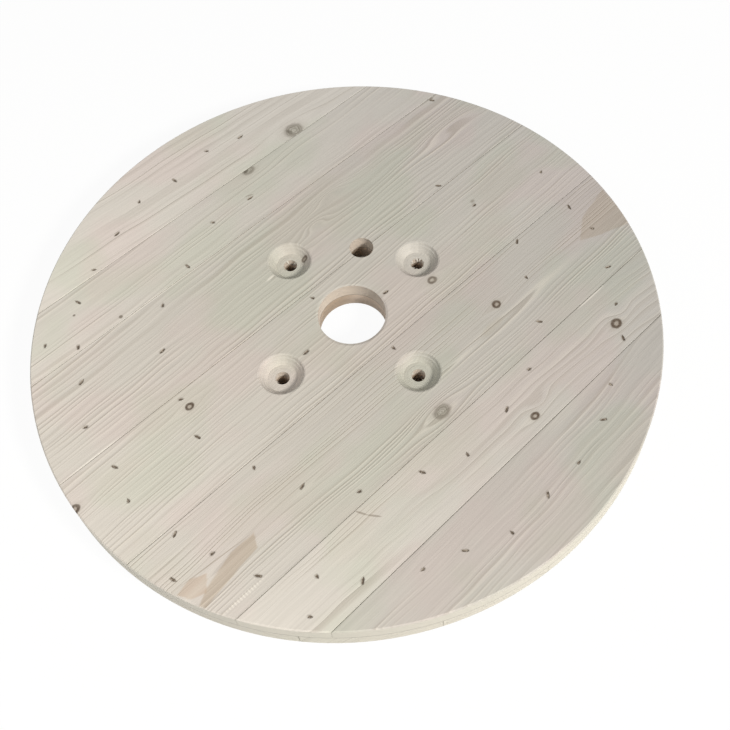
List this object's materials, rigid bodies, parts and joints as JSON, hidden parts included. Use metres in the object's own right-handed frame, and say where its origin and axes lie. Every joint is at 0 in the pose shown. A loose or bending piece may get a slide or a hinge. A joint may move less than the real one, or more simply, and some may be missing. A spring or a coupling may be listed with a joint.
{
  "type": "wooden cable drum flange",
  "caption": "Round two-ply nailed wooden flange of a cable drum, with a central spindle bore, a drive hole and recessed tie-bolt holes around it.",
  "frame": {"origin": "on the spindle axis, in the plane of the inner face that the flange lies on", "axes": "+Z along the spindle axis, out of the outer face with its nut recesses; +X along the outer ply's boards; +Y along the inner ply's boards"},
  "size_m": [0.75, 0.75, 0.04],
  "materials": {
    "outer_wood": "sawn and planed softwood, unpainted",
    "inner_wood": "sawn softwood, unpainted",
    "nail_steel": "dull dark wire"
  },
  "bodies": {
    "root": {"outer_board_1": "outer_wood", "outer_board_2": "outer_wood", "outer_board_3": "outer_wood", "outer_board_4": "outer_wood", "outer_board_5": "outer_wood", "outer_board_6": "outer_wood", "outer_board_7": "outer_wood", "inner_board_1": "inner_wood", "inner_board_2": "inner_wood", "inner_board_3": "inner_wood", "inner_board_4": "inner_wood", "inner_board_5": "inner_wood", "inner_board_6": "inner_wood", "inner_board_7": "inner_wood", "outer_ring_nails": "nail_steel", "middle_ring_nails": "nail_steel", "hub_nails": "nail_steel", "rim_nails": "nail_steel"}
  },
  "joints": []
}
